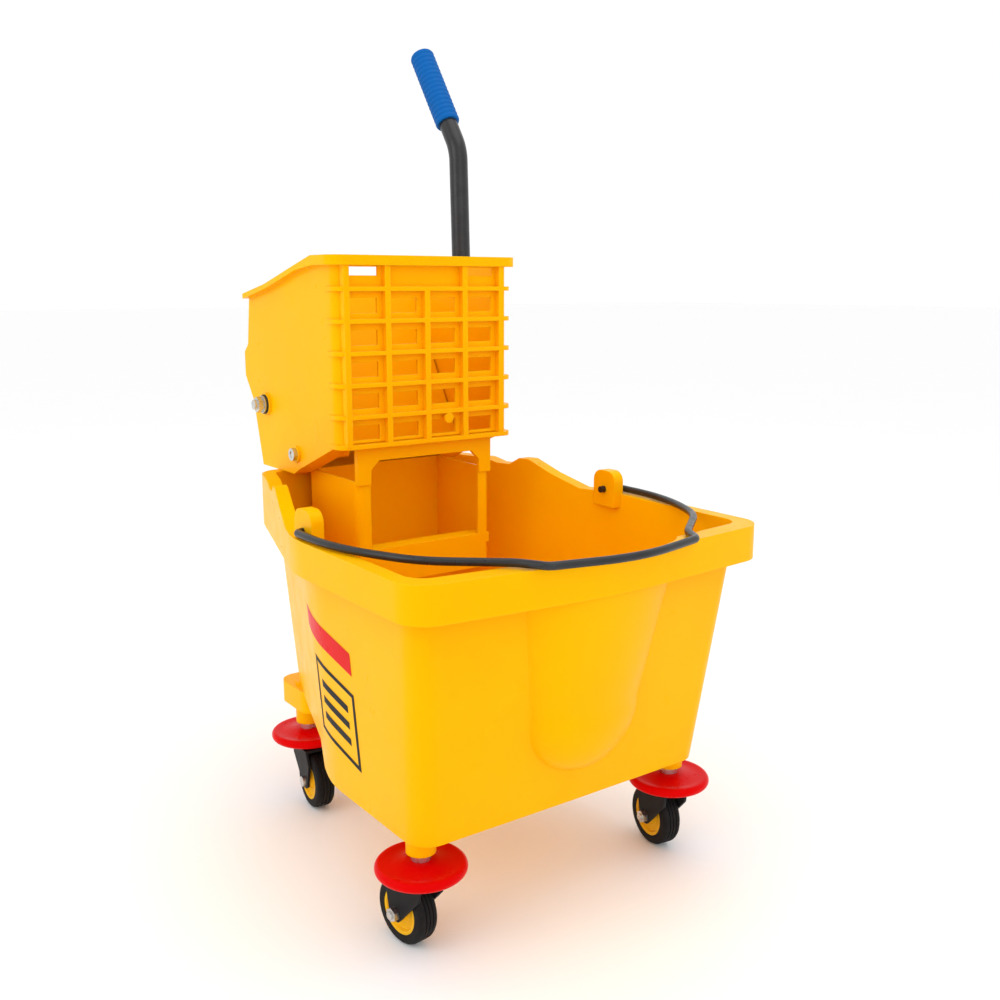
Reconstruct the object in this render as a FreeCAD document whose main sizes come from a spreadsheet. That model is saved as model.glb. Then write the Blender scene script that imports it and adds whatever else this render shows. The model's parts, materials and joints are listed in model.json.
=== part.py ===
import FreeCAD, Part

import math
import os

import Sketcher

# Mop bucket on four casters with a lift-off side-press wringer.
# Millimetres, +Z up.  The spout end faces -Y, the wringer stands over the +Y end.
# Origin: floor level under the middle of the object.

SIZES = {
    # tub
    "wall": 3.5,
    "tub_bottom_z": 121.0,
    "raised_bottom_z": 152.0,
    "step_front_y": 0.0,
    "floor_half": 186.0,
    "floor_front_y": 215.0,
    "floor_rear_y": 190.0,
    "floor_rear_half": 112.0,
    "skirt_z": 359.0,
    "skirt_half": 205.0,
    "skirt_front_corner_y": 243.0,
    "skirt_front_mid_y": 264.0,
    "skirt_rear_y": 208.0,
    "skirt_rear_half": 127.0,
    "taper_start_y": 35.0,
    "corner_round": 26.0,
    "rear_corner_round": 24.0,
    "bow_round": 700.0,
    "taper_round": 160.0,
    "rim_z": 396.0,
    "rim_half": 221.0,
    "rim_front_corner_y": 266.0,
    "rim_front_mid_y": 288.0,
    "rim_rear_y": 223.0,
    "rim_rear_half": 141.0,
    "rim_rear_z": 421.0,
    "rim_crest_z": 425.0,
    "rim_skin": 3.5,
    "belly_low_half": 72.0,
    "belly_top_half": 118.0,
    "belly_bulge": 36.0,
    "belly_low_y": 225.0,
    "belly_top_y": 261.0,
    "belly_low_z": 232.0,
    "belly_drop": 70.0,
    "ear_x": 201.0,
    "ear_thick": 14.0,
    "ear_half_width": 19.0,
    "ear_top_z": 424.0,
    "bail_pivot_z": 401.0,
    "bail_hole_rad": 4.08,
    # casters
    "front_track_half": 167.0,
    "rear_track_half": 111.0,
    "front_pivot_y": 187.0,
    "rear_pivot_y": 174.0,
    "boss_rad": 15.0,
    "pod_out": 22.0,
    "pod_top_z": 156.0,
    "boss_bottom_z": 105.0,
    "socket_rad": 8.0,
    "socket_length": 34.0,
    "stem_rad": 5.5,
    "bumper_rad": 46.0,
    "bumper_top_z": 97.0,
    "bumper_thick": 13.0,
    "wheel_rad": 35.0,
    "wheel_width": 23.0,
    "trail": 22.0,
    "axle_rad": 4.0,
    "hub_rad": 24.0,
    "fork_gap": 26.0,
    "fork_sheet": 3.0,
    # bail
    "bail_rad": 4.0,
    "bail_leg_x": 216.0,
    "bail_front_y": 311.9,
    "bail_bend": 7.0,
    # wringer
    "wringer_half": 117.0,
    "grille_y": 49.0,
    "grille_recess": 8.0,
    "grille_bottom_z": 467.5,
    "wringer_top_z": 678.0,
    "cell_pitch_x": 51.7,
    "cell_pitch_z": 35.3,
    "cell_rib": 7.0,
    "fin_thick": 5.0,
    "window_lift": 6.3,
    "window_height": 16.5,
    "window_width": 38.5,
    "wringer_floor_z": 421.5,
    "chute_half": 92.0,
    "chute_front_y": 63.0,
    "chute_rear_y": 182.0,
    "chute_bottom_z": 300.0,
    "chute_window_half": 75.0,
    "chute_window_low_z": 343.0,
    "chute_window_top_z": 448.0,
    "chute_window_chamfer": 11.0,
    "lip_out": 9.0,
    "fin_out": 2.0,
    "wringer_corner_round": 14.0,
    "lip_high": 11.0,
    # press plate and lever
    "shaft_y": 248.0,
    "shaft_z": 500.0,
    "shaft_rad": 6.0,
    "hinge_y": 166.0,
    "hinge_z": 447.0,
    "hinge_rad": 4.0,
    "plate_half": 111.0,
    "plate_length": 208.0,
    "plate_thick": 10.0,
    "plate_lean": 30.0,
    "cam_length": 92.0,
    "cam_lean": 12.0,
    "cam_nose_rad": 9.0,
    "lever_x": 143.0,
    "tube_rad": 12.0,
    "grip_rad": 16.0,
    "grip_length": 112.0,
    "socket_hub_half": 16.5,
}

doc = FreeCAD.newDocument("MopBucket")
sheet = doc.addObject("Spreadsheet::Sheet", "Sizes")
for row, (alias, number) in enumerate(SIZES.items(), start=1):
    sheet.set(f"A{row}", alias)
    sheet.set(f"B{row}", str(number))
    sheet.setAlias(f"B{row}", alias)
doc.recompute()

V = FreeCAD.Vector
X_AXIS = V(1, 0, 0)
Y_AXIS = V(0, 1, 0)
Z_AXIS = V(0, 0, 1)


class Dim:
    """A size that keeps its number and the sheet expression it comes from."""

    def __init__(self, value, text):
        self.value = float(value)
        self.text = text

    def __add__(self, other):
        other = as_dim(other)
        return Dim(self.value + other.value, f"({self.text} + {other.text})")

    def __radd__(self, other):
        return as_dim(other) + self

    def __sub__(self, other):
        other = as_dim(other)
        return Dim(self.value - other.value, f"({self.text} - {other.text})")

    def __rsub__(self, other):
        return as_dim(other) - self

    def __mul__(self, other):
        other = as_dim(other)
        return Dim(self.value * other.value, f"({self.text} * {other.text})")

    def __truediv__(self, other):
        other = as_dim(other)
        return Dim(self.value / other.value, f"({self.text} / {other.text})")

    def __neg__(self):
        return Dim(-self.value, f"(0 - {self.text})")


def as_dim(number):
    """Plain numbers take part in sums with sheet sizes."""
    if isinstance(number, Dim):
        return number
    if number < 0:
        return Dim(number, f"(0 - {-number})")
    return Dim(number, f"{number}")


def size(alias):
    """The sheet size with this alias."""
    return Dim(sheet.get(alias), f"Sizes.{alias}")


def number(alias):
    """The plain number of a sheet size, for shapes made in code."""
    return float(sheet.get(alias))


# ---------------------------------------------------------------- helpers

SUB_PARTS = []
names_used = {}


def fresh(stem):
    """A new internal object name from a readable stem."""
    names_used[stem] = names_used.get(stem, 0) + 1
    return f"{stem}_{names_used[stem]}"


def bind(obj, prop, dim):
    obj.setExpression(prop, as_dim(dim).text)


def place(obj, base=(0, 0, 0), axis=Z_AXIS, angle=0.0):
    """Rotate about the object's own origin, then move; the base stays bound to the sheet."""
    dims = [as_dim(c) for c in base]
    obj.Placement = FreeCAD.Placement(V(*[d.value for d in dims]), FreeCAD.Rotation(axis, angle))
    for letter, dim in zip("xyz", dims):
        obj.setExpression(f"Placement.Base.{letter}", dim.text)
    return obj


def box(low, high):
    """A block between two corners."""
    block = doc.addObject("Part::Box", fresh("block"))
    for prop, a, b in zip(("Length", "Width", "Height"), low, high):
        bind(block, prop, as_dim(b) - as_dim(a))
    return place(block, low)


def rod(radius, length, base, axis="z"):
    """A cylinder from a base point along +X, +Y or +Z."""
    bar = doc.addObject("Part::Cylinder", fresh("rod"))
    bind(bar, "Radius", radius)
    bind(bar, "Height", length)
    turn = {"z": (Z_AXIS, 0), "x": (Y_AXIS, 90), "y": (X_AXIS, -90)}[axis]
    return place(bar, base, *turn)


def fuse(*objects):
    joined = doc.addObject("Part::MultiFuse", fresh("fuse"))
    joined.Shapes = list(objects)
    return joined


def cut(base, *tools):
    result = doc.addObject("Part::Cut", fresh("cut"))
    result.Base = base
    result.Tool = tools[0] if len(tools) == 1 else fuse(*tools)
    return result


def common(first, second):
    result = doc.addObject("Part::Common", fresh("common"))
    result.Base = first
    result.Tool = second
    return result


def outline(points, base=(0, 0, 0), plane="xy"):
    """A closed straight-sided sketch whose corners are bound to sheet sizes."""
    sketch = doc.addObject("Sketcher::SketchObject", fresh("outline"))
    corners = [tuple(as_dim(c) for c in point) for point in points]
    count = len(corners)
    for i, (a, b) in enumerate(corners):
        nxt = corners[(i + 1) % count]
        side = Part.LineSegment(V(a.value, b.value, 0), V(nxt[0].value, nxt[1].value, 0))
        sketch.addGeometry(side, False)
    for i in range(count):
        sketch.addConstraint(Sketcher.Constraint("Coincident", i, 2, (i + 1) % count, 1))
    for i, corner in enumerate(corners):
        for kind, on_axis, dim in zip(("DistanceX", "DistanceY"), (-2, -1), corner):
            if abs(dim.value) < 1e-9:
                sketch.addConstraint(Sketcher.Constraint("PointOnObject", i, 1, on_axis))
                continue
            if dim.value > 0:
                index = sketch.addConstraint(Sketcher.Constraint(kind, -1, 1, i, 1, dim.value))
                sketch.setExpression(f"Constraints[{index}]", dim.text)
            else:
                index = sketch.addConstraint(Sketcher.Constraint(kind, i, 1, -1, 1, -dim.value))
                sketch.setExpression(f"Constraints[{index}]", (-dim).text)
    if plane == "yz":
        # sketch x is world +Y, sketch y is world +Z, the normal is world +X
        place(sketch, base)
        turn = FreeCAD.Rotation(V(0, 1, 0), V(0, 0, 1), V(1, 0, 0), "XYZ")
        sketch.Placement = FreeCAD.Placement(sketch.Placement.Base, turn)
        return sketch
    if plane == "xz":
        # sketch x is world +X, sketch y is world +Z, the normal is world -Y
        return place(sketch, base, X_AXIS, 90)
    return place(sketch, base)


def extrude(sketch, length, direction=Z_AXIS):
    solid = doc.addObject("Part::Extrusion", fresh("extrusion"))
    solid.Base = sketch
    solid.DirMode = "Custom"
    solid.Dir = direction
    solid.Solid = True
    bind(solid, "LengthFwd", length)
    return solid


def profile_slab(points, half_width):
    """A side outline in (Y, Z), carried across the width from -X to +X."""
    sketch = outline(points, (-as_dim(half_width), 0, 0), "yz")
    return extrude(sketch, as_dim(half_width) * 2, X_AXIS)


def loft(*sketches):
    solid = doc.addObject("Part::Loft", fresh("loft"))
    solid.Sections = list(sketches)
    solid.Solid = True
    solid.Ruled = True
    return solid


def ellipse(major, minor, base):
    """A flat ellipse, longer along X."""
    ring = doc.addObject("Part::Ellipse", fresh("ellipse"))
    bind(ring, "MajorRadius", major)
    bind(ring, "MinorRadius", minor)
    return place(ring, base)


def rounded(base, picks):
    """Round the edges that each (test, radius) pair picks out."""
    doc.recompute()
    edges = []
    for index, edge in enumerate(base.Shape.Edges, start=1):
        for test, radius in picks:
            if test(edge):
                edges.append((index, radius, radius))
                break
    fillet = doc.addObject("Part::Fillet", fresh("round"))
    fillet.Base = base
    fillet.Edges = edges
    doc.recompute()
    if fillet.Shape.isNull() or not fillet.Shape.isValid():
        raise RuntimeError(f"rounding failed on {base.Name}")
    return fillet


def revolve(points, base=(0, 0, 0)):
    """Turn a half outline, given as (radius, height), about the vertical axis."""
    sketch = outline(points)
    sketch.Placement = FreeCAD.Placement(V(0, 0, 0), FreeCAD.Rotation(X_AXIS, 90))
    solid = doc.addObject("Part::Revolution", fresh("turned"))
    solid.Source = sketch
    solid.Axis = Z_AXIS
    solid.Angle = 360.0
    solid.Solid = True
    return place(solid, base)


def sub_part(label, obj):
    obj.Label = label
    SUB_PARTS.append(obj)
    return obj


def made_in_code(label, shape):
    """A piece whose shape is worked out here from sheet numbers."""
    feature = doc.addObject("Part::Feature", fresh("made"))
    feature.Shape = shape
    return sub_part(label, feature)


def bent_path(points, radii):
    """A wire of straight runs joined by tangent arcs, one radius for each inner point."""
    edges = []
    start = points[0]
    for before, corner, after, radius in zip(points, points[1:], points[2:], radii):
        incoming = (corner - before).normalize()
        outgoing = (after - corner).normalize()
        half_turn = incoming.getAngle(outgoing) / 2
        setback = radius * math.tan(half_turn)
        arc_start = corner - incoming * setback
        arc_end = corner + outgoing * setback
        inward = (outgoing - incoming).normalize()
        middle = corner + inward * (radius / math.cos(half_turn) - radius)
        if (arc_start - start).Length > 1e-6:
            edges.append(Part.LineSegment(start, arc_start).toShape())
        edges.append(Part.Arc(arc_start, middle, arc_end).toShape())
        start = arc_end
    edges.append(Part.LineSegment(start, points[-1]).toShape())
    return Part.Wire(edges)


def tube_along(path, radius, bore=0.0):
    """A round bar, or a tube with a bore, swept along a path."""
    start = path.Edges[0].Vertexes[0].Point
    heading = path.Edges[0].tangentAt(path.Edges[0].FirstParameter)
    section = Part.Wire([Part.Circle(V(*start), heading, radius).toShape()])
    solid = path.makePipeShell([section], True, True)
    if bore:
        inner = Part.Wire([Part.Circle(V(*start), heading, bore).toShape()])
        solid = solid.cut(path.makePipeShell([inner], True, True))
    return solid


# ---------------------------------------------------------------- tub

TALL_Z = 470.0


def tub_outline(half, corner_y, mid_y, rear_y, rear_half, z):
    """Plan outline of the tub: bowed front, straight sides, tapered rear."""
    taper_y = -size("taper_start_y")
    points = [
        (0, -as_dim(mid_y)), (half, -as_dim(corner_y)), (half, taper_y), (rear_half, rear_y),
        (-as_dim(rear_half), rear_y), (-as_dim(half), taper_y), (-as_dim(half), -as_dim(corner_y)),
    ]
    return outline(points, (0, 0, z))


def upright(edge):
    """True for an edge that climbs from one outline to the next."""
    box_of_edge = edge.BoundBox
    return box_of_edge.ZLength > 30.0


def corner_edge(edge):
    """True for the upright edges at the front and rear corners."""
    middle = edge.CenterOfMass
    return upright(edge) and abs(middle.x) > 60.0 and middle.y < -150.0


def rear_corner_edge(edge):
    middle = edge.CenterOfMass
    return upright(edge) and middle.y > 100.0


def bow_edge(edge):
    """True for the upright edge at the middle of the front."""
    return upright(edge) and abs(edge.CenterOfMass.x) < 60.0


def taper_edge(edge):
    """True for the upright edges where the sides begin to taper."""
    return upright(edge) and abs(edge.CenterOfMass.y) < 60.0


def corner_picks(inset=0.0):
    return [
        (corner_edge, number("corner_round") - inset),
        (rear_corner_edge, number("rear_corner_round") - inset),
        (bow_edge, number("bow_round") - inset),
        (taper_edge, number("taper_round") - inset),
    ]


def tub_volume(inset, floor_lift):
    """The solid inside the tub's outer skin, or its hollow when inset is the wall."""
    inset = as_dim(inset)
    low_z = size("tub_bottom_z") + floor_lift
    # the walls lean out at the same rate from the floor to above the rim
    climb = (as_dim(TALL_Z) - size("tub_bottom_z")) / (size("skirt_z") - size("tub_bottom_z"))
    base_rate = as_dim(floor_lift) / (size("skirt_z") - size("tub_bottom_z"))

    def at(low, high, rate):
        return low + (high - low) * rate

    def section(rate, z):
        half = at(size("floor_half"), size("skirt_half"), rate) - inset
        corner = at(size("floor_front_y"), size("skirt_front_corner_y"), rate) - inset
        middle = at(size("floor_front_y") + 1, size("skirt_front_mid_y"), rate) - inset
        rear = at(size("floor_rear_y"), size("skirt_rear_y"), rate) - inset
        rear_half = at(size("floor_rear_half"), size("skirt_rear_half"), rate) - inset
        return tub_outline(half, corner, middle, rear, rear_half, z)

    shell = loft(section(base_rate, low_z), section(climb, TALL_Z))
    shell = rounded(shell, corner_picks(inset.value))
    notch_top = size("raised_bottom_z") + floor_lift
    step_y = -size("step_front_y") - inset
    notch = profile_slab(
        [(step_y, 100), (step_y + 14, notch_top), (260, notch_top), (260, 100)], 240)
    body = cut(shell, notch)
    bag = doc.addObject("Part::Ellipsoid", fresh("bag"))
    bind(bag, "Radius1", size("belly_drop") - inset)
    bind(bag, "Radius2", size("belly_low_half") - inset)
    bind(bag, "Radius3", size("belly_bulge") - inset)
    place(bag, (0, -size("belly_low_y"), size("belly_low_z")))
    throat = loft(
        ellipse(size("belly_low_half") - inset, size("belly_bulge") - inset,
                (0, -size("belly_low_y"), size("belly_low_z"))),
        ellipse(size("belly_top_half") - inset, size("belly_bulge") - inset,
                (0, -size("belly_top_y"), TALL_Z)))
    return fuse(body, bag, throat)


def rim_profile(drop):
    """Side outline of everything under the rim's top, lowered by a drop."""
    drop = as_dim(drop)
    level = size("rim_z") - drop
    crest = size("rim_crest_z") - drop
    rear = size("rim_rear_z") - drop
    return profile_slab([
        (-330, 90), (-330, level), (8, level), (50, level + 14), (84, crest), (98, crest),
        (112, crest - 9), (132, crest - 9), (150, rear), (270, rear), (270, 90)], 260)


def rim_block(inset, drop):
    """The rim's outer block between the skirt's lower edge and the rim's top."""
    inset = as_dim(inset)
    sketch = tub_outline(
        size("rim_half") - inset, size("rim_front_corner_y") - inset,
        size("rim_front_mid_y") - inset, size("rim_rear_y") - inset,
        size("rim_rear_half") - inset, size("skirt_z") - inset / 10)
    block = extrude(sketch, 100)
    block = rounded(block, corner_picks(inset.value - 8.0))
    return common(block, rim_profile(drop))


def caster_boss(x, y, top_z):
    return rod(size("boss_rad"), as_dim(top_z) - size("boss_bottom_z"), (x, y, size("boss_bottom_z")))


def ear(side):
    """A lug on the rim that holds one end of the bail."""
    centre_x = size("ear_x") * side
    low = (centre_x - size("ear_thick") / 2, -size("taper_start_y") - size("ear_half_width"), 380)
    high = (centre_x + size("ear_thick") / 2, -size("taper_start_y") + size("ear_half_width"),
            size("ear_top_z"))
    lug = rounded(box(low, high), [
        (lambda e: e.BoundBox.XLength > 5 and e.CenterOfMass.z > 420, 13.0)])
    return lug


def build_tub():
    outer = common(tub_volume(0, 0), rim_profile(0.5))
    hollow = tub_volume(size("wall"), size("wall"))
    flange = cut(rim_block(0, 0), rim_block(size("rim_skin"), size("rim_skin")))
    bosses = []
    for side in (-1, 1):
        bosses.append(caster_boss(
            size("front_track_half") * side, -size("front_pivot_y"), size("tub_bottom_z") + 30))
        bosses.append(caster_boss(
            size("rear_track_half") * side, size("rear_pivot_y"), size("raised_bottom_z") + 8))
    # a pod over each rear caster stands out from the wall
    pods = []
    for side in (-1, 1):
        reach = (size("rear_track_half") - 28) * side
        out = (size("rear_track_half") + size("pod_out")) * side
        low_x, high_x = (reach, out) if side > 0 else (out, reach)
        pod = box((low_x, 130, 129), (high_x, 212, size("pod_top_z")))
        pods.append(rounded(pod, [(lambda e: e.BoundBox.ZLength > 20, 20.0)]))
    body = cut(fuse(outer, flange, *pods), hollow)
    lugs = fuse(ear(-1), ear(1))
    sockets = []
    for side in (-1, 1):
        sockets.append(rod(size("socket_rad"), size("socket_length"), (
            size("front_track_half") * side, -size("front_pivot_y"), size("boss_bottom_z"))))
        sockets.append(rod(size("socket_rad"), size("socket_length"), (
            size("rear_track_half") * side, size("rear_pivot_y"), size("boss_bottom_z"))))
    bail_hole = rod(size("bail_hole_rad"), 460, (-230, -size("taper_start_y"), size("bail_pivot_z")), "x")
    whole = cut(fuse(body, lugs, *bosses), *sockets, bail_hole)
    return sub_part("tub", whole)


# ---------------------------------------------------------------- bail

def build_bail():
    """A bent wire: inward hooks in the lugs, two legs and an offset hand grip."""
    z = number("bail_pivot_z")
    leg = number("bail_leg_x")
    hook = number("ear_x") - number("ear_thick") / 2 - 6
    pivot_y = -number("taper_start_y")
    right_side = [
        V(hook, pivot_y, z), V(leg, pivot_y, z), V(leg, -118, z), V(176, -206, z),
        V(108, -262, z), V(92, -290, z),
    ]
    left_side = [V(-p.x, p.y, p.z) for p in reversed(right_side)]
    points = right_side + [V(0, -number("bail_front_y"), z)] + left_side
    half_radii = [number("bail_bend"), 250.0, 120.0, 40.0, 14.0]
    radii = half_radii + [180.0] + half_radii[::-1]
    return made_in_code("bail", tube_along(bent_path(points, radii), number("bail_rad")))


# ---------------------------------------------------------------- casters

CORNERS = {
    "front_left": (-1, "front_track_half", "front_pivot_y", -1, 7.6),
    "front_right": (1, "front_track_half", "front_pivot_y", -1, -8.0),
    "rear_left": (-1, "rear_track_half", "rear_pivot_y", 1, 175.0),
    "rear_right": (1, "rear_track_half", "rear_pivot_y", 1, 186.0),
}


def build_caster(corner):
    """One caster: fixed stem and bumper, swivelling fork, rolling wheel."""
    side, track, pivot_y, end, angle = CORNERS[corner]
    x = size(track) * side
    y = size(pivot_y) * end
    top = size("bumper_top_z")
    disc_rad = size("bumper_rad")
    thick = size("bumper_thick")

    def swung(label, obj):
        return sub_part(f"{label}_{corner}", place(obj, (x, y, 0), Z_AXIS, angle))

    bush = cut(
        rod(size("socket_rad"), size("socket_length"), (0, 0, size("boss_bottom_z"))),
        rod(size("stem_rad"), size("socket_length"), (0, 0, size("boss_bottom_z"))))
    swung("socket", bush)
    disc_low = top - thick
    crown_z = disc_low - 8.5
    pin_low = crown_z - 6.5
    stem = fuse(
        rod(size("stem_rad"), size("boss_bottom_z") + size("socket_length") - 3 - pin_low, (0, 0, pin_low)),
        rod(size("stem_rad") + 3.5, 3.2, (0, 0, pin_low)),
        rod(17, 4.7, (0, 0, disc_low - 4.7)),
        rod(size("stem_rad") + 4.5, size("boss_bottom_z") - top, (0, 0, top)))
    swung("stem", stem)
    bumper = revolve([
        (size("stem_rad"), top - thick), (disc_rad - 4, top - thick), (disc_rad, top - thick + 3),
        (disc_rad, top - thick + 5), (disc_rad - 5, top - 5), (disc_rad - 20, top - 1.5),
        (15, top), (size("stem_rad"), top)])
    swung("bumper", bumper)
    axle_z = size("wheel_rad")
    inner = size("fork_gap") / 2
    outer_x = inner + size("fork_sheet")
    trail = size("trail")
    crown = fuse(
        rod(19, 3.5, (0, 0, crown_z)),
        box((-outer_x, -16, crown_z - 3), (outer_x, 28, crown_z)))
    legs = []
    for leg_side in (-1, 1):
        cheek = outline([
            (-16, crown_z), (28, crown_z), (trail + 15, axle_z + 24), (trail + 9, axle_z - 5),
            (trail + 4, axle_z - 9), (trail - 4, axle_z - 9), (trail - 9, axle_z - 4), (-14, axle_z + 26)],
            (inner if leg_side > 0 else -outer_x, 0, 0), "yz")
        legs.append(extrude(cheek, size("fork_sheet"), X_AXIS))
    fork = cut(
        fuse(crown, *legs),
        rod(size("axle_rad"), 60, (-30, trail, axle_z), "x"),
        rod(size("stem_rad") + 0.08, 30, (0, 0, crown_z - 10)))
    swung("fork", fork)
    half_width = size("wheel_width") / 2
    hub_rad = size("hub_rad")

    def spun(points):
        """Turn a wheel section, given as (across, radius), about the axle."""
        sketch = place(outline(points), (0, trail, axle_z))
        solid = doc.addObject("Part::Revolution", fresh("turned"))
        solid.Source = sketch
        solid.Axis = X_AXIS
        bind(solid, "Base.y", trail)
        bind(solid, "Base.z", axle_z)
        solid.Angle = 360.0
        solid.Solid = True
        return solid

    tyre = spun([
        (-half_width, hub_rad), (-half_width, size("wheel_rad") - 4),
        (-half_width + 3.5, size("wheel_rad") - 0.7),
        (0, size("wheel_rad")), (half_width - 3.5, size("wheel_rad") - 0.7),
        (half_width, size("wheel_rad") - 4),
        (half_width, hub_rad)])
    swung("tyre", tyre)
    web = half_width - 4
    bore = size("axle_rad") + 0.05
    hub = spun([
        (-half_width + 0.5, hub_rad), (-half_width + 0.5, hub_rad - 3), (-web, hub_rad - 5), (-web, 12),
        (-inner + 0.4, 9), (-inner + 0.4, bore), (inner - 0.4, bore), (inner - 0.4, 9), (web, 12),
        (web, hub_rad - 5), (half_width - 0.5, hub_rad - 3), (half_width - 0.5, hub_rad)])
    swung("hub", hub)
    head = rod(6.5, 4, (outer_x, trail, axle_z), "x")
    axle = fuse(rod(size("axle_rad"), outer_x * 2 + 8, (-outer_x - 8, trail, axle_z), "x"), head)
    swung("axle_bolt", axle)
    nut = doc.addObject("Part::Prism", fresh("hex"))
    nut.Polygon = 6
    nut.Circumradius = 7.4
    nut.Height = 6.0
    place(nut, (-outer_x - 6, trail, axle_z), Y_AXIS, 90)
    nut = cut(nut, rod(size("axle_rad"), 20, (-outer_x - 12, trail, axle_z), "x"))
    swung("axle_nut", nut)


# ---------------------------------------------------------------- wringer

BACK_KINK = [(299, 572), (310.5, 562), (310.5, 532), (288, 502)]


def side_profile(inset, top_lift):
    """Side outline of the wringer as (Y, Z): flat top, sloping mouth, kinked back."""
    inset = as_dim(inset)
    front = size("grille_y") + size("grille_recess") + inset
    top = size("wringer_top_z") + top_lift
    low = size("wringer_floor_z") + inset
    back = [(y - inset, z) for y, z in BACK_KINK]
    return [
        (front, low + 49), (front, top), (98, top), (138, top - 10), (222, top - 31),
        (289 - inset, top - 43), *back, (266 - inset, low), (176, low), (160, low + 8), (68, low + 44)]


def front_edge(edge):
    """True for an upright edge of the wringer's front."""
    return edge.BoundBox.ZLength > 3 and edge.CenterOfMass.y < 75


def tall_front_edge(edge):
    """True for the two long upright edges at the front of the wringer's box."""
    return edge.BoundBox.ZLength > 100 and edge.CenterOfMass.y < 100


def build_fins():
    """Thin shelves across the grille that wrap round its front corners."""
    half = size("wringer_half")
    depth_y = size("grille_y") + size("grille_recess") + 20
    fins = []
    for level in range(5):
        z = size("grille_bottom_z") + size("cell_pitch_z") * (level + 1)
        fins.append(box(
            (-half - size("fin_out"), size("grille_y"), z - size("fin_thick")),
            (half + size("fin_out"), depth_y, z)))
    fins.append(box(
        (-half - 2, size("grille_y"), size("grille_bottom_z") - 3),
        (half + 2, depth_y, size("grille_bottom_z") + 2)))
    return [rounded(fin, [(front_edge, 16.0)]) for fin in fins]


def build_grille_ribs():
    """Upright ribs between the columns of windows."""
    first_x = -size("cell_pitch_x") * 2
    face_y = size("grille_y")
    back_y = face_y + size("grille_recess") + 1
    top = size("wringer_top_z") - 2
    ribs = []
    for column in range(5):
        x = first_x + size("cell_pitch_x") * column
        rib_top = top if column != 2 else size("grille_bottom_z") + size("cell_pitch_z") * 5
        ribs.append(box((x - size("cell_rib"), face_y, size("grille_bottom_z")), (x, back_y, rib_top)))
    return ribs


def build_grille_openings():
    """The 4 by 5 windows and the two slots above them."""
    first_x = -size("cell_pitch_x") * 2
    plate_y = size("grille_y") + size("grille_recess")
    openings = []
    for column in range(4):
        x = first_x + size("cell_pitch_x") * column
        for level in range(5):
            z = size("grille_bottom_z") + size("cell_pitch_z") * level + size("window_lift")
            openings.append(box(
                (x, plate_y - 1, z),
                (x + size("window_width"), plate_y + 12, z + size("window_height"))))
    for x in (first_x + 1, first_x + size("cell_pitch_x") * 3 + 1):
        openings.append(box((x, plate_y - 1, 656), (x + 39, plate_y + 12, 665.5)))
    return openings


def build_mouth_lip():
    """The thickened edge round the mouth, level in front and sloping down the sides."""
    half = size("wringer_half")
    top = size("wringer_top_z")
    low = top - size("lip_high")
    face_y = size("grille_y")
    band = rounded(
        box((-half - size("lip_out"), face_y - 2, low), (half + size("lip_out"), 98, top)),
        [(front_edge, 20.0)])
    pieces = [cut(band, box(
        (-half + size("wall"), face_y + size("grille_recess") + size("wall"), low - 5),
        (half - size("wall"), 130, top + 5)))]
    ribbon = [
        (97, top), (138, top - 10), (222, top - 31), (289, top - 43), (289, top - 49),
        (222, top - 37), (138, top - 16), (97, low)]
    for start in (half - 1, -half - size("lip_out")):
        pieces.append(extrude(outline(ribbon, (start, 0, 0), "yz"), size("lip_out") + 1, X_AXIS))
    return pieces


def build_chute():
    """The open-bottomed box that hangs into the tub below the chamber, with its front window."""
    wall = size("wall")
    half = size("chute_half")
    front_y = size("chute_front_y")
    plate_y = size("grille_y") + size("grille_recess")
    low = size("wringer_floor_z")
    outer = rounded(
        box((-half, front_y, size("chute_bottom_z")), (half, size("chute_rear_y"), low + 3)),
        [(front_edge, 9.0)])
    apron = box((-half, front_y - 2, low - 1), (half, plate_y + 12, size("grille_bottom_z") + 3))
    hollow = box(
        (-half + wall, front_y + wall, size("chute_bottom_z") - 5),
        (half - wall, size("chute_rear_y") - wall, size("grille_bottom_z") + 20))
    across = size("chute_window_half")
    sill_z = size("chute_window_low_z")
    head_z = size("chute_window_top_z")
    chamfer = size("chute_window_chamfer")
    window = outline([
        (-across, sill_z), (across, sill_z), (across, head_z - chamfer), (across - chamfer, head_z),
        (-across + chamfer, head_z), (-across, head_z - chamfer),
    ], (0, front_y + 12, 0), "xz")
    frame = cut(fuse(outer, apron), hollow, extrude(window, 20, -Y_AXIS))
    sill = box((-half + 1, front_y, sill_z - 12), (half - 1, front_y + 24, sill_z))
    stiffener = box((-9, front_y, size("chute_bottom_z")), (-3, front_y + 24, sill_z - 10))
    return [frame, sill, stiffener]


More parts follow.
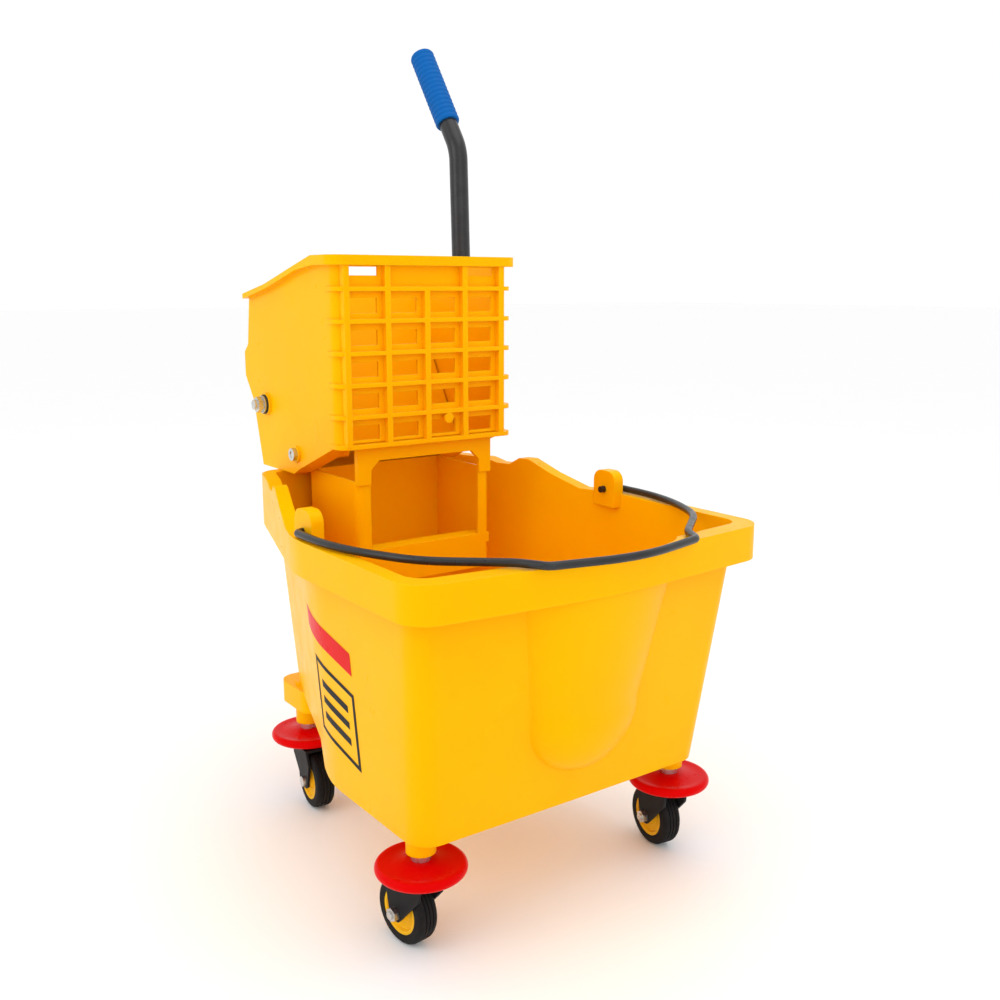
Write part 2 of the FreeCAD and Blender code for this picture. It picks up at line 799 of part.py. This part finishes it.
def build_wringer_shell():
    half = size("wringer_half")
    wall = size("wall")
    corner = number("wringer_corner_round")
    skin = rounded(profile_slab(side_profile(0, 0), half), [(tall_front_edge, corner)])
    chamber = rounded(profile_slab(side_profile(wall, 30), half - wall), [
        (tall_front_edge, corner - wall.value)])
    back_gap = box((-half + 24, 280, 566), (half - 24, 330, 700))
    chute = build_chute()
    bosses = []
    for side in (-1, 1):
        start = half if side > 0 else -half - 3
        bosses.append(rod(14, 3, (start, size("shaft_y"), size("shaft_z")), "x"))
        bosses.append(rod(10, 3, (start, size("hinge_y"), size("hinge_z")), "x"))
    gate_boss = rod(6, 4, (24, size("grille_y") - 1, 492), "y")
    bores = [
        rod(size("shaft_rad") + 3, 300, (-150, size("shaft_y"), size("shaft_z")), "x"),
        rod(size("hinge_rad"), 300, (-150, size("hinge_y"), size("hinge_z")), "x"),
    ]
    body = fuse(skin, *build_fins(), *build_mouth_lip(), *build_grille_ribs(), *bosses, gate_boss)
    body = cut(body, chamber, back_gap)
    body = cut(fuse(body, *chute), *build_grille_openings(), *bores)
    floor_hole = box(
        (-size("chute_half") + wall, size("chute_front_y") + wall, 380),
        (size("chute_half") - wall, size("chute_rear_y") - wall, size("grille_bottom_z") + 20))
    return sub_part("wringer_shell", cut(body, floor_hole))


def build_wringer_hardware():
    """Bushes for the cross shaft, and the plate's hinge rod with its caps."""
    y = size("shaft_y")
    z = size("shaft_z")
    face = size("wringer_half") + 3
    inside = size("wringer_half") - size("wall")
    for side, label in ((-1, "left"), (1, "right")):
        barrel_start = inside if side > 0 else -face
        collar_start = face if side > 0 else -face - 2
        bush = cut(
            fuse(rod(size("shaft_rad") + 3, face - inside, (barrel_start, y, z), "x"),
                 rod(size("shaft_rad") + 6, 2, (collar_start, y, z), "x")),
            rod(size("shaft_rad") + 0.05, 300, (-150, y, z), "x"))
        sub_part(f"shaft_bush_{label}", bush)
    hinge_y = size("hinge_y")
    hinge_z = size("hinge_z")
    sub_part("hinge_rod", rod(size("hinge_rad"), face * 2 + 8, (-face - 4, hinge_y, hinge_z), "x"))
    for start, label in ((-face - 5, "left"), (face, "right")):
        cap = cut(rod(7.5, 5, (start, hinge_y, hinge_z), "x"),
                  rod(size("hinge_rad"), 300, (-150, hinge_y, hinge_z), "x"))
        sub_part(f"hinge_cap_{label}", cap)


# ---------------------------------------------------------------- press plate

def build_press_plate():
    """The moving plate: hinged at its foot, leaning back at rest."""
    half = size("plate_half")
    length = size("plate_length")
    thick = size("plate_thick")
    slab = rounded(box((-half, -thick / 2, 8), (half, thick / 2, length)), [
        (lambda e: e.BoundBox.YLength > 5 and e.CenterOfMass.z > 100, 14.0)])
    barrels = [rod(9, 60, (-half, 0, 0), "x"), rod(9, 60, (half - 60, 0, 0), "x")]
    webs = [box((-half, -5, 0), (-half + 60, 5, 16)), box((half - 60, -5, 0), (half, 5, 16))]
    plate = cut(fuse(slab, *barrels, *webs),
                rod(size("hinge_rad") + 0.08, half * 2 + 20, (-half - 10, 0, 0), "x"))
    plate = place(plate, (0, size("hinge_y"), size("hinge_z")), X_AXIS, -number("plate_lean"))
    return sub_part("press_plate", plate)


# ---------------------------------------------------------------- lever

def build_lever():
    y = size("shaft_y")
    z = size("shaft_z")
    half = size("wringer_half")
    lever_x = size("lever_x")
    shaft = rod(size("shaft_rad"), half * 2 + 68, (-half - 18, y, z), "x")
    sub_part("cross_shaft", shaft)
    for side, label in ((-1, "left"), (1, "right")):
        x = (half - 25) * side - 6
        arm = fuse(
            rod(13, 12, (0, 0, 0), "x"),
            rod(size("cam_nose_rad"), 12, (0, 0, size("cam_length")), "x"),
            box((0, -7, 0), (12, 7, size("cam_length"))))
        arm = cut(arm, rod(size("shaft_rad"), 40, (-10, 0, 0), "x"))
        place(arm, (x, y, z), X_AXIS, -number("cam_lean"))
        sub_part(f"cam_arm_{label}", arm)
    # socket casting on the shaft's right end, with the bent tube in it
    end = V(lever_x.value, 290, 945)
    knee = V(lever_x.value, 204, 818)
    hip = V(lever_x.value, 198, 652)
    centre = V(lever_x.value, y.value, z.value)
    lean = (hip - centre).normalize()
    upward = (end - knee).normalize()
    foot = centre + lean * 26
    grip_cap = 4.0
    tube_path = bent_path([foot, hip, knee, end - upward * grip_cap], [120.0, 55.0])
    made_in_code("lever_tube", tube_along(tube_path, number("tube_rad"), number("tube_rad") - 1.8))
    hub_half = number("socket_hub_half")
    hub = Part.makeCylinder(21, hub_half * 2, centre - X_AXIS * hub_half, X_AXIS)
    sleeve = Part.makeCylinder(number("tube_rad") + 4, 62, centre, lean)
    socket = hub.fuse(sleeve)
    socket = socket.cut(Part.makeCylinder(number("tube_rad"), 60, foot, lean))
    socket = socket.cut(Part.makeCylinder(number("shaft_rad"), 60, centre - X_AXIS * 25, X_AXIS))
    made_in_code("lever_socket", socket)
    # grip over the upper end of the tube
    length = number("grip_length")
    grip_start = end - upward * length
    grip = Part.makeCylinder(number("grip_rad"), length, grip_start, upward)
    grip = grip.cut(Part.makeCylinder(number("tube_rad"), length - grip_cap, grip_start, upward))
    made_in_code("grip", grip)
    # a washer and a nut outside the left bush and outside the socket
    outside = lever_x + size("socket_hub_half")
    for washer_x, nut_x, label in (
            (-half - 7.3, -half - 14.3, "left"), (outside, outside + 2, "right")):
        washer = cut(rod(11, 2, (washer_x, y, z), "x"), rod(size("shaft_rad"), 9, (washer_x - 3, y, z), "x"))
        sub_part(f"shaft_washer_{label}", washer)
        nut = doc.addObject("Part::Prism", fresh("hex"))
        nut.Polygon = 6
        nut.Circumradius = 10.0
        nut.Height = 7.0
        place(nut, (nut_x, y, z), Y_AXIS, 90)
        bore = rod(size("shaft_rad"), 20, (nut_x - 5, y, z), "x")
        sub_part(f"shaft_nut_{label}", cut(nut, bore))


def build_return_spring():
    """A torsion coil on the cross shaft, inside the left wall: short arcs joined end to end."""
    coil_rad = number("shaft_rad") + 4.0
    wire = 1.3
    turns = 4
    pitch = 2.9
    arcs_per_turn = 8
    corner_rad = coil_rad / math.cos(math.pi / arcs_per_turn)
    start_x = -number("wringer_half") + 5.1
    corners = []
    for step in range(turns * arcs_per_turn + 1):
        angle = 2 * math.pi * step / arcs_per_turn
        corners.append(V(
            start_x + pitch * step / arcs_per_turn,
            number("shaft_y") + corner_rad * math.cos(angle),
            number("shaft_z") + corner_rad * math.sin(angle)))
    arc_rad = coil_rad * 0.96
    path = bent_path(corners, [arc_rad] * (len(corners) - 2))
    made_in_code("return_spring", tube_along(path, wire))


build_tub()
build_bail()
for corner_name in CORNERS:
    build_caster(corner_name)
build_wringer_shell()
build_wringer_hardware()
build_press_plate()
build_lever()
build_return_spring()

doc.recompute()
for obj in doc.Objects:
    if "Invalid" in obj.State or "Error" in obj.State:
        raise RuntimeError(f"{obj.Name} failed: {obj.State}")

os.makedirs("parts", exist_ok=True)
for part in SUB_PARTS:
    shape = part.Shape
    if shape.isNull() or not shape.isValid() or not shape.Solids:
        raise RuntimeError(f"{part.Label} has no valid solid")
    shape.exportStep(f"parts/{part.Label}.step")
    print(f"{part.Label}: {len(shape.Solids)} solid(s), {shape.Volume:.0f} mm3")
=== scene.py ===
import json
import math

import bmesh
import bpy
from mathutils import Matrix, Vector


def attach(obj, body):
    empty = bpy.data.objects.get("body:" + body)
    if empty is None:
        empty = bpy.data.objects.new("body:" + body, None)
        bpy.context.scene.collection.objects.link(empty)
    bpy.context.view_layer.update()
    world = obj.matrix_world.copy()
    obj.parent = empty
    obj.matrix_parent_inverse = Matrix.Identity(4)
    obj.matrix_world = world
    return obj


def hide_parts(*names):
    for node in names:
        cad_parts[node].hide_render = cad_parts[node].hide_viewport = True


# Looks for the mop bucket: materials, the moulded details CAD leaves plain, camera and lights.
# Metres, +Z up, the spout end faces -Y.

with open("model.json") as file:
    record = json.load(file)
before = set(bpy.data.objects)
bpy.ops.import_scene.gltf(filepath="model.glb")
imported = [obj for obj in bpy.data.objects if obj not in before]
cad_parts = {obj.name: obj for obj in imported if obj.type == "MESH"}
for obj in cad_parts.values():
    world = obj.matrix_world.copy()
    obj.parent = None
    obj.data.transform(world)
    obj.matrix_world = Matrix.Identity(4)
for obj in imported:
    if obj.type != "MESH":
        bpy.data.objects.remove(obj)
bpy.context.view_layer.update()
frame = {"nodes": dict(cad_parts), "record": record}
NODES = frame["nodes"]
JOINTS = {joint["name"]: joint for joint in frame["record"]["behaviour"]["joints"]}
CORNERS = ("front_left", "front_right", "rear_left", "rear_right")
MM = 0.001


# ---------------------------------------------------------------- materials

class Shader:
    """A Principled material with short calls for the nodes that feed it."""

    def __init__(self, name):
        self.material = bpy.data.materials.new(name)
        self.material.use_nodes = True
        self.tree = self.material.node_tree
        self.surface = self.tree.nodes["Principled BSDF"]
        self.place = self.node("ShaderNodeTexCoord").outputs["Object"]

    def node(self, kind, **settings):
        made = self.tree.nodes.new(kind)
        for name, value in settings.items():
            setattr(made, name, value)
        return made

    def link(self, source, target):
        self.tree.links.new(source, target)

    def noise(self, scale, detail=3.0, roughness=0.5):
        made = self.node("ShaderNodeTexNoise")
        made.inputs["Scale"].default_value = scale
        made.inputs["Detail"].default_value = detail
        made.inputs["Roughness"].default_value = roughness
        self.link(self.place, made.inputs["Vector"])
        return made.outputs["Fac"]

    def spread(self, source, low, high, out_low, out_high):
        made = self.node("ShaderNodeMapRange")
        for name, value in zip(("From Min", "From Max", "To Min", "To Max"),
                               (low, high, out_low, out_high)):
            made.inputs[name].default_value = value
        self.link(source, made.inputs["Value"])
        return made.outputs["Result"]

    def mix(self, factor, first, second):
        """Mix two colours; either may be a socket or a plain colour."""
        made = self.node("ShaderNodeMix", data_type="RGBA")
        self.link(factor, made.inputs["Factor"])
        for socket, value in ((made.inputs[6], first), (made.inputs[7], second)):
            if isinstance(value, tuple):
                socket.default_value = (*value, 1.0)
            else:
                self.link(value, socket)
        return made.outputs[2]

    def edges(self, radius):
        """1 on sharp edges and 0 on open faces, from how far the normal bends over."""
        bevel = self.node("ShaderNodeBevel", samples=4)
        bevel.inputs["Radius"].default_value = radius
        geometry = self.node("ShaderNodeNewGeometry")
        dot = self.node("ShaderNodeVectorMath", operation="DOT_PRODUCT")
        self.link(bevel.outputs["Normal"], dot.inputs[0])
        self.link(geometry.outputs["Normal"], dot.inputs[1])
        return self.spread(dot.outputs["Value"], 0.99, 0.80, 0.0, 1.0)

    def bump(self, height, strength, distance, soften=0.0):
        made = self.node("ShaderNodeBump")
        made.inputs["Strength"].default_value = strength
        made.inputs["Distance"].default_value = distance
        self.link(height, made.inputs["Height"])
        if soften:
            bevel = self.node("ShaderNodeBevel", samples=4)
            bevel.inputs["Radius"].default_value = soften
            self.link(bevel.outputs["Normal"], made.inputs["Normal"])
        self.link(made.outputs["Normal"], self.surface.inputs["Normal"])

    def put(self, name, source):
        if hasattr(source, "is_output"):
            self.link(source, self.surface.inputs[name])
        else:
            self.surface.inputs[name].default_value = source


def moulded(name, main, deep, worn, rough=0.32, soften=1.2 * MM, glow=0.0, gloss=0.14):
    """Satin injection-moulded plastic: faint flow marks, fine grain, rubbed edges."""
    made = Shader(name)
    made.put("Specular IOR Level", gloss)
    made.put("Specular Tint", (*(0.25 + 0.75 * channel for channel in main), 1.0))
    flow = made.spread(made.noise(7.0, 4.0, 0.6), 0.35, 0.65, 0.0, 1.0)
    colour = made.mix(flow, main, deep)
    scuffs = made.spread(made.noise(55.0, 6.0, 0.7), 0.62, 0.78, 0.0, 0.35)
    colour = made.mix(scuffs, colour, worn)
    made.put("Base Color", made.mix(made.edges(1.5 * MM), colour, worn))
    made.put("Roughness", made.spread(made.noise(30.0, 5.0, 0.6), 0.3, 0.7, rough - 0.05, rough + 0.09))
    made.put("IOR", 1.36)
    if glow:
        made.put("Subsurface Weight", glow)
        made.put("Subsurface Scale", 6 * MM)
        made.put("Subsurface Radius", (1.0, 0.45, 0.05))
    made.bump(made.noise(900.0, 2.0), 0.12, 0.12 * MM, soften)
    return made.material


def coated_steel(name):
    """Black satin powder coat with its fine orange peel."""
    made = Shader(name)
    shade = made.spread(made.noise(40.0, 4.0), 0.3, 0.7, 0.0, 1.0)
    colour = made.mix(shade, (0.010, 0.010, 0.011), (0.020, 0.020, 0.022))
    made.put("Base Color", made.mix(made.edges(1.0 * MM), colour, (0.06, 0.06, 0.06)))
    made.put("Roughness", made.spread(made.noise(120.0, 4.0), 0.3, 0.7, 0.26, 0.38))
    made.put("Coat Weight", 0.08)
    made.put("Specular IOR Level", 0.35)
    made.bump(made.noise(650.0, 2.0), 0.2, 0.15 * MM, 0.6 * MM)
    return made.material


def bare_steel(name, tint, rough):
    """Zinc-plated or spring steel: a fine drawn grain and cloudy plating."""
    made = Shader(name)
    cloud = made.spread(made.noise(60.0, 5.0), 0.35, 0.65, 0.0, 1.0)
    duller = tuple(channel * 0.72 for channel in tint)
    made.put("Base Color", made.mix(cloud, tint, duller))
    made.put("Metallic", 1.0)
    made.put("Roughness", made.spread(made.noise(240.0, 5.0), 0.3, 0.7, rough, rough + 0.16))
    made.bump(made.noise(1500.0, 3.0), 0.15, 0.08 * MM, 0.4 * MM)
    return made.material


def rubber(name, main, dusty, rough):
    """Soft matte rubber, with dust held in its grain."""
    made = Shader(name)
    made.put("Specular IOR Level", 0.12)
    dust = made.spread(made.noise(35.0, 6.0, 0.7), 0.5, 0.75, 0.0, 0.6)
    made.put("Base Color", made.mix(dust, main, dusty))
    made.put("Roughness", made.spread(made.noise(90.0, 5.0), 0.3, 0.7, rough - 0.08, rough + 0.1))
    made.bump(made.noise(420.0, 4.0), 0.3, 0.2 * MM, 0.5 * MM)
    return made.material


def make_materials():
    yellow = {"main": (0.985, 0.475, 0.0), "deep": (0.97, 0.455, 0.0), "worn": (0.99, 0.53, 0.01)}
    steel = (0.70, 0.70, 0.67)
    return {
        "yellow_plastic": moulded("yellow_plastic", **yellow, glow=0.22),
        "wringer_plastic": moulded("wringer_plastic", **yellow, glow=0.22),
        "wheel_yellow": moulded("wheel_yellow", (0.88, 0.47, 0.01), (0.80, 0.40, 0.01),
                                (0.98, 0.62, 0.06), 0.36, 0.6 * MM),
        "red_plastic": moulded("red_plastic", (0.72, 0.001, 0.001), (0.66, 0.001, 0.001),
                               (0.80, 0.01, 0.01), 0.28),
        "fork_plastic": moulded("fork_plastic", (0.014, 0.014, 0.015), (0.020, 0.020, 0.021),
                                (0.05, 0.05, 0.05), 0.42, 0.8 * MM),
        "bush_plastic": moulded("bush_plastic", (0.03, 0.03, 0.03), (0.04, 0.04, 0.04),
                                (0.09, 0.09, 0.09), 0.5, 0.5 * MM),
        "black_steel": coated_steel("black_steel"),
        "black_wire": coated_steel("black_wire"),
        "zinc_steel": bare_steel("zinc_steel", steel, 0.24),
        "spring_steel": bare_steel("spring_steel", (0.42, 0.42, 0.42), 0.32),
        "tyre_rubber": rubber("tyre_rubber", (0.010, 0.009, 0.009), (0.026, 0.025, 0.024), 0.6),
        "blue_grip": rubber("blue_grip", (0.0, 0.105, 0.38), (0.0, 0.125, 0.42), 0.55),
    }


MATERIALS = make_materials()
SLOTS = {part["node"]: part["material_slot"] for part in frame["record"]["subparts"]}


def finish_cad_nodes():
    """Give each CAD node its material and smooth its round faces."""
    for name, node in NODES.items():
        node.data.materials.clear()
        node.data.materials.append(MATERIALS[SLOTS[name]])
        weld = node.modifiers.new("join", "WELD")
        weld.merge_threshold = 0.01 * MM
        for polygon in node.data.polygons:
            polygon.use_smooth = True
        smooth_by_angle(node, 32.0)


def smooth_by_angle(obj, degrees):
    """Keep edges sharper than this, and smooth the rest."""
    split = obj.modifiers.new("sharp", "EDGE_SPLIT")
    split.split_angle = math.radians(degrees)


# ---------------------------------------------------------------- mesh helpers

def add_mesh(name, vertices, faces, slot_name):
    mesh = bpy.data.meshes.new(name)
    mesh.from_pydata([tuple(v) for v in vertices], [], faces)
    mesh.validate()
    made = bpy.data.objects.new(name, mesh)
    bpy.context.scene.collection.objects.link(made)
    mesh.materials.append(MATERIALS[slot_name])
    working = bmesh.new()
    working.from_mesh(mesh)
    bmesh.ops.recalc_face_normals(working, faces=working.faces)
    working.to_mesh(mesh)
    working.free()
    for polygon in mesh.polygons:
        polygon.use_smooth = True
    return made


def turned(name, profile, base, along, slot_name, around=72):
    """Turn (distance along, radius) points about an axis. The ring closes on itself."""
    along = along.normalized()
    side = along.orthogonal().normalized()
    across = along.cross(side)
    vertices = []
    for step in range(around):
        angle = 2 * math.pi * step / around
        spoke = side * math.cos(angle) + across * math.sin(angle)
        for distance, radius in profile:
            vertices.append(base + along * distance + spoke * radius)
    count = len(profile)
    faces = []
    for step in range(around):
        here = step * count
        there = ((step + 1) % around) * count
        for i in range(count):
            j = (i + 1) % count
            faces.append((here + i, here + j, there + j, there + i))
    return add_mesh(name, vertices, faces, slot_name)


# ---------------------------------------------------------------- grip

LEVER_KNEE = Vector((143, 204, 818)) * MM
LEVER_END = Vector((143, 290, 945)) * MM


def build_grip():
    """Ridged soft grip with flat ends, over the tube's upper end."""
    length = 112 * MM
    upward = (LEVER_END - LEVER_KNEE).normalized()
    base = LEVER_END - upward * length
    ridge = 7.0 * MM
    outer = 16 * MM
    depth = 1.1 * MM
    bore = 12.05 * MM
    end_step = 1.2 * MM
    end_wall = 3.8 * MM
    pinhole = 0.2 * MM
    steps_per_ridge = 8
    count = int(length / ridge) * steps_per_ridge
    profile = [(0, bore), (0, outer - end_step)]
    for i in range(1, count):
        distance = length * i / count
        wave = 0.5 + 0.5 * math.cos(2 * math.pi * distance / ridge)
        profile.append((distance, outer - depth * wave ** 2))
    profile += [(length, outer - end_step), (length, pinhole), (length - end_wall, pinhole),
                (length - end_wall, bore)]
    grip = turned("grip_ridged", profile, base, upward, "blue_grip")
    smooth_by_angle(grip, 50.0)
    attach(grip, "lever")
    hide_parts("grip")


# ---------------------------------------------------------------- tyres

def tyre_profile():
    """Half round shoulders and three shallow grooves, as (across, radius)."""
    half = 11.5 * MM
    bore = 24.0 * MM
    tread = 34.9 * MM
    shoulder = 5.0 * MM
    groove_half = 0.7 * MM
    groove_depth = 1.1 * MM
    groove_spacing = 4.2 * MM
    floor_part = 0.6
    steps = 6
    left = []
    for i in range(steps + 1):
        turn = math.pi / 2 * i / steps
        across = -half + shoulder * (1 - math.cos(turn))
        left.append((across, tread - shoulder * (1 - math.sin(turn))))
    middle = []
    for groove in (-groove_spacing, 0.0, groove_spacing):
        middle += [
            (groove - groove_half, tread), (groove - groove_half * floor_part, tread - groove_depth),
            (groove + groove_half * floor_part, tread - groove_depth), (groove + groove_half, tread)]
    right = [(-across, radius) for across, radius in reversed(left)]
    return [(-half, bore)] + left + middle + right + [(half, bore)]


def build_tyres():
    """Grooved tyres, each centred on the joint that its wheel rolls about."""
    for corner in CORNERS:
        roll = JOINTS[f"roll_{corner}"]
        centre = Vector(roll["pos_m"])
        axle = Vector(roll["axis"])
        tyre = turned(f"tyre_treaded_{corner}", tyre_profile(), centre, axle, "tyre_rubber", 96)
        smooth_by_angle(tyre, 35.0)
        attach(tyre, f"wheel_{corner}")
        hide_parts(f"tyre_{corner}")


# ---------------------------------------------------------------- bumpers

def build_bumpers():
    """Red corner discs: a thick rolled rim round a shallow dished top."""
    underside = 84.0 * MM
    stem_hole = 5.5 * MM
    rim_centre = 41.5 * MM
    rim_middle = 5.2 * MM
    rim_half_width = 4.5 * MM
    rim_half_height = 5.2 * MM
    steps = 10
    rim = []
    for i in range(steps + 1):
        turn = -math.pi / 2 + math.pi * i / steps
        height = rim_middle + rim_half_height * math.sin(turn)
        radius = rim_centre + rim_half_width * math.cos(turn)
        rim.append((height, radius))
    thickness = 13.0
    # (height, radius) in mm from the dip inside the rim up to the flat round the stem
    crown = [(9.6, 37.5), (9.3, 33.0), (9.8, 27.0), (11.4, 19.0), (thickness, 14.0)]
    profile = [(0.0, stem_hole)] + rim + [(height * MM, radius * MM) for height, radius in crown]
    profile.append((thickness * MM, stem_hole))
    for corner in CORNERS:
        pivot_x, pivot_y, _ = JOINTS[f"swivel_{corner}"]["pos_m"]
        base = Vector((pivot_x, pivot_y, underside))
        bumper = turned(f"bumper_rolled_{corner}", profile, base, Vector((0, 0, 1)), "red_plastic", 96)
        smooth_by_angle(bumper, 40.0)
        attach(bumper, "bucket")
        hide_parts(f"bumper_{corner}")


# ---------------------------------------------------------------- side marks

def on_tub_side(y, z, proud):
    """The point on the tub's left wall at this height and place along it, standing proud."""
    clear_of_tub = -0.4
    hit, place, normal, _ = NODES["tub"].ray_cast(Vector((clear_of_tub, y, z)), Vector((1, 0, 0)))
    if not hit:
        raise RuntimeError(f"no tub wall at y {y}, z {z}")
    return place + normal * proud


def printed(name, outlines, slot_name):
    """Thin ink laid on the wall. Each outline is (y low, y high, z low, z high), in mm."""
    proud = 0.3 * MM
    cells = 24
    slope = 0.22  # how far the print climbs toward the rear, per unit of length
    vertices = []
    faces = []
    for y_low, y_high, z_low, z_high in outlines:
        first = len(vertices)
        for row in range(cells + 1):
            for column in range(cells + 1):
                y = (y_low + (y_high - y_low) * column / cells) * MM
                z = (z_low + (z_high - z_low) * row / cells) * MM + slope * y
                vertices.append(on_tub_side(y, z, proud))
        for row in range(cells):
            for column in range(cells):
                corner = first + row * (cells + 1) + column
                faces.append((corner, corner + 1, corner + cells + 2, corner + cells + 1))
    mark = add_mesh(name, vertices, faces, slot_name)
    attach(mark, "bucket")


def build_side_marks():
    """Generic marks where the object carries printing: a red bar, and a ruled black panel. In mm."""
    printed("mark_bar", [(-112, -2, 292, 316)], "red_plastic")
    low_y, high_y, low_z, high_z = -112, -24, 188, 272
    line = 5
    margin = 16
    rule_height = 8
    frame_sides = [
        (low_y, high_y, low_z, low_z + line), (low_y, high_y, high_z - line, high_z),
        (low_y, low_y + line, low_z + line, high_z - line),
        (high_y - line, high_y, low_z + line, high_z - line),
    ]
    rules = [(low_y + margin, high_y - margin, z, z + rule_height) for z in (208, 226, 244)]
    printed("mark_panel", frame_sides + rules, "fork_plastic")


# ---------------------------------------------------------------- stage, light and camera

def area_light(name, place, target, size, power):
    light = bpy.data.lights.new(name, "AREA")
    light.shape = "SQUARE"
    light.size = size
    light.energy = power
    lamp = bpy.data.objects.new(name, light)
    lamp.location = place
    lamp.rotation_mode = "QUATERNION"
    lamp.rotation_quaternion = (Vector(target) - Vector(place)).to_track_quat("-Z", "Y")
    bpy.context.scene.collection.objects.link(lamp)


def build_stage():
    half = 30.0
    floor = bpy.data.meshes.new("floor")
    floor.from_pydata([(-half, -half, 0), (half, -half, 0), (half, half, 0), (-half, half, 0)],
                      [], [(0, 1, 2, 3)])
    ground = bpy.data.objects.new("floor", floor)
    bpy.context.scene.collection.objects.link(ground)
    pale = Shader("pale_floor")
    pale.put("Base Color", pale.mix(pale.noise(3.0), (0.955, 0.955, 0.955), (0.965, 0.965, 0.965)))
    pale.put("Roughness", 0.75)
    floor.materials.append(pale.material)
    world = bpy.data.worlds.new("studio")
    world.use_nodes = True
    world.node_tree.nodes["Background"].inputs["Color"].default_value = (1, 1, 1, 1)
    world.node_tree.nodes["Background"].inputs["Strength"].default_value = 1.02
    bpy.context.scene.world = world
    middle = (0, 0, 0.4)
    area_light("key", (-2.3, 0.1, 1.5), middle, size=1.4, power=11)
    area_light("front", (-0.5, -2.6, 1.5), middle, size=2.0, power=7)
    area_light("top", (0.2, -0.5, 2.4), middle, size=1.6, power=9)
    bpy.context.scene.view_settings.view_transform = "Standard"


def build_camera():
    camera = bpy.data.cameras.new("camera")
    camera.lens = 39.227
    camera.sensor_width = 36.0
    camera.clip_start = 0.05
    camera.clip_end = 50.0
    azimuth = math.radians(-35.786)
    elevation = math.radians(11.151)
    back = Vector((math.sin(azimuth) * math.cos(elevation),
                   -math.cos(azimuth) * math.cos(elevation), math.sin(elevation)))
    viewer = bpy.data.objects.new("camera", camera)
    viewer.location = Vector((-674.9, -1023.3, 645.4)) * MM
    viewer.rotation_mode = "QUATERNION"
    viewer.rotation_quaternion = (-back).to_track_quat("-Z", "Y")
    bpy.context.scene.collection.objects.link(viewer)
    bpy.context.scene.camera = viewer


build_grip()
build_tyres()
build_bumpers()
build_side_marks()
finish_cad_nodes()
build_stage()
build_camera()
